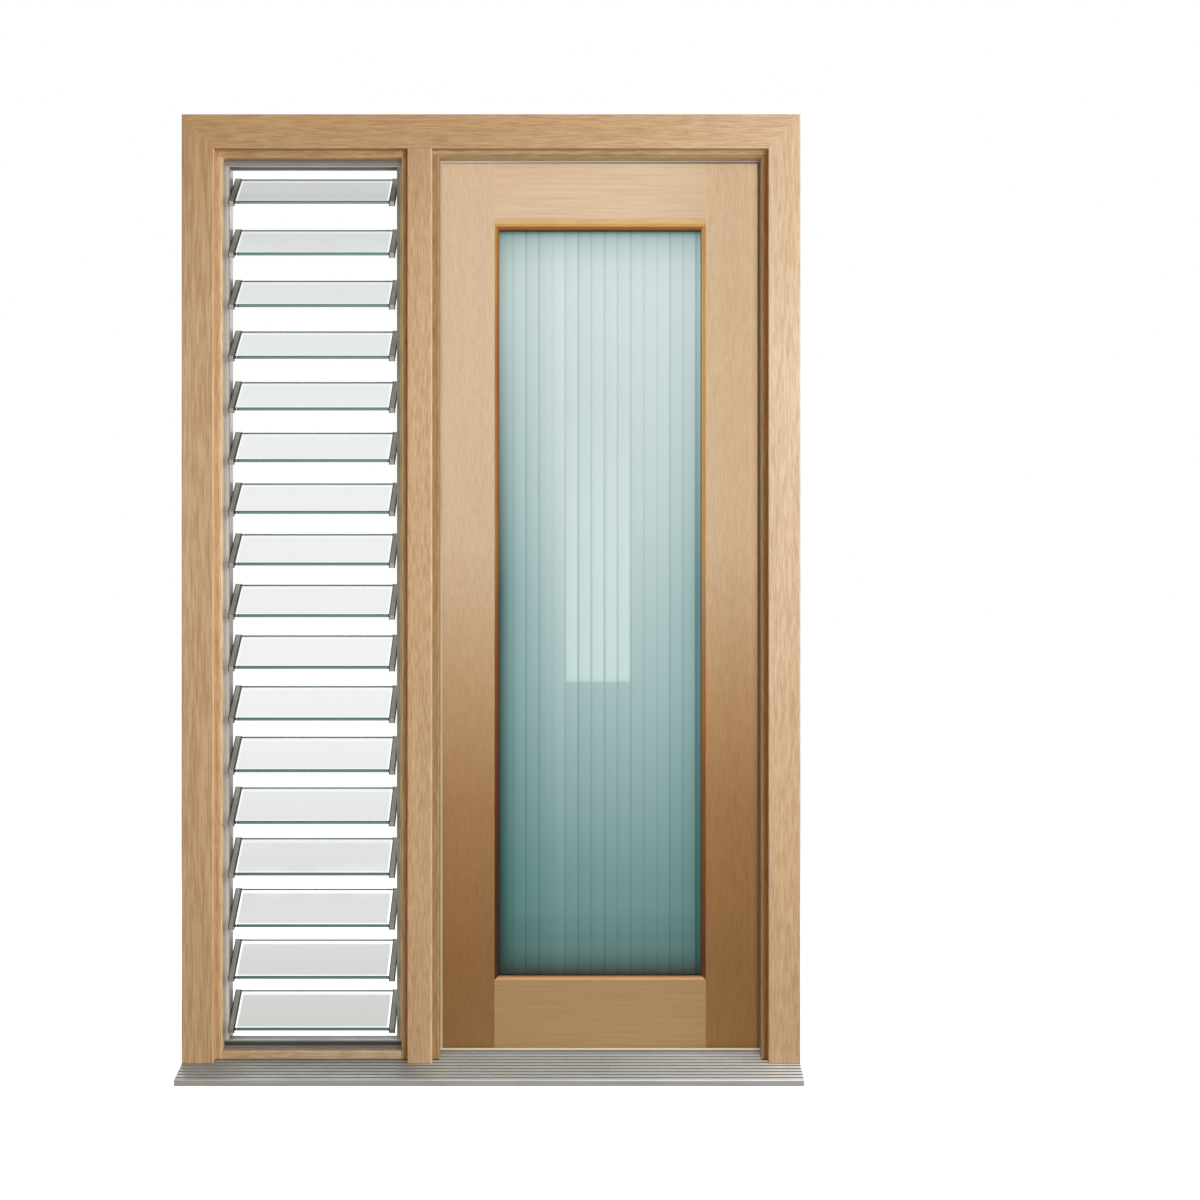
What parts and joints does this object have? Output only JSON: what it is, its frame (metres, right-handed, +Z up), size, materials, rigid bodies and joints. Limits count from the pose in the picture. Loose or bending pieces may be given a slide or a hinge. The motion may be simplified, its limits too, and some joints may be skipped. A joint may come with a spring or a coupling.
{
  "type": "glazed timber entrance door with louvre sidelight",
  "caption": "Timber entrance door unit: inward-opening leaf with a tall reeded glass pane, a fixed louvre sidelight, a mitred hardwood frame and a ribbed sloping aluminium sill.",
  "frame": {"origin": "underside of the sill, mid width, below the outer face of the timber frame", "axes": "+X to the right seen from outside, +Y into the building, +Z up"},
  "size_m": [1.396, 0.2395, 2.173],
  "materials": {
    "frame_timber": "clear satin oil",
    "leaf_timber": "clear satin oil",
    "bead_timber": "clear satin oil",
    "sill_aluminium": "satin anodised",
    "gallery_aluminium": "satin anodised",
    "clip_metal": "satin",
    "blade_glass": "clear, polished edges",
    "reeded_glass": "reeded, blue green",
    "seal_rubber": "matt",
    "hinge_steel": "satin"
  },
  "bodies": {
    "frame": {"jamb_left": "frame_timber", "jamb_right": "frame_timber", "head": "frame_timber", "mullion": "frame_timber", "door_stops": "frame_timber", "louvre_stops": "frame_timber", "louvre_sill_rail": "frame_timber", "sill": "sill_aluminium", "weather_bar": "sill_aluminium", "gallery_left": "gallery_aluminium", "gallery_right": "gallery_aluminium", "gallery_head": "gallery_aluminium", "gallery_sill": "gallery_aluminium", "louvre_clips_left": "clip_metal", "louvre_clips_right": "clip_metal", "louvre_blade_01": "blade_glass", "louvre_blade_02": "blade_glass", "louvre_blade_03": "blade_glass", "louvre_blade_04": "blade_glass", "louvre_blade_05": "blade_glass", "louvre_blade_06": "blade_glass", "louvre_blade_07": "blade_glass", "louvre_blade_08": "blade_glass", "louvre_blade_09": "blade_glass", "louvre_blade_10": "blade_glass", "louvre_blade_11": "blade_glass", "louvre_blade_12": "blade_glass", "louvre_blade_13": "blade_glass", "louvre_blade_14": "blade_glass", "louvre_blade_15": "blade_glass", "louvre_blade_16": "blade_glass", "louvre_blade_17": "blade_glass", "weather_seal": "seal_rubber", "hinge_frame_plates": "hinge_steel", "hinge_pins": "hinge_steel"},
    "leaf": {"stile_lock": "leaf_timber", "stile_hinge": "leaf_timber", "rail_top": "leaf_timber", "rail_bottom": "leaf_timber", "reeded_glass": "reeded_glass", "bead_top": "bead_timber", "bead_bottom": "bead_timber", "bead_lock_side": "bead_timber", "bead_hinge_side": "bead_timber", "hinge_door_plates": "hinge_steel"}
  },
  "joints": [
    {"name": "door_hinge", "type": "hinge", "parent": "frame", "child": "leaf", "pos_m": [0.6235, 0.136, 1.071], "axis": [0, 0, -1], "range_deg": [0, 110]}
  ]
}
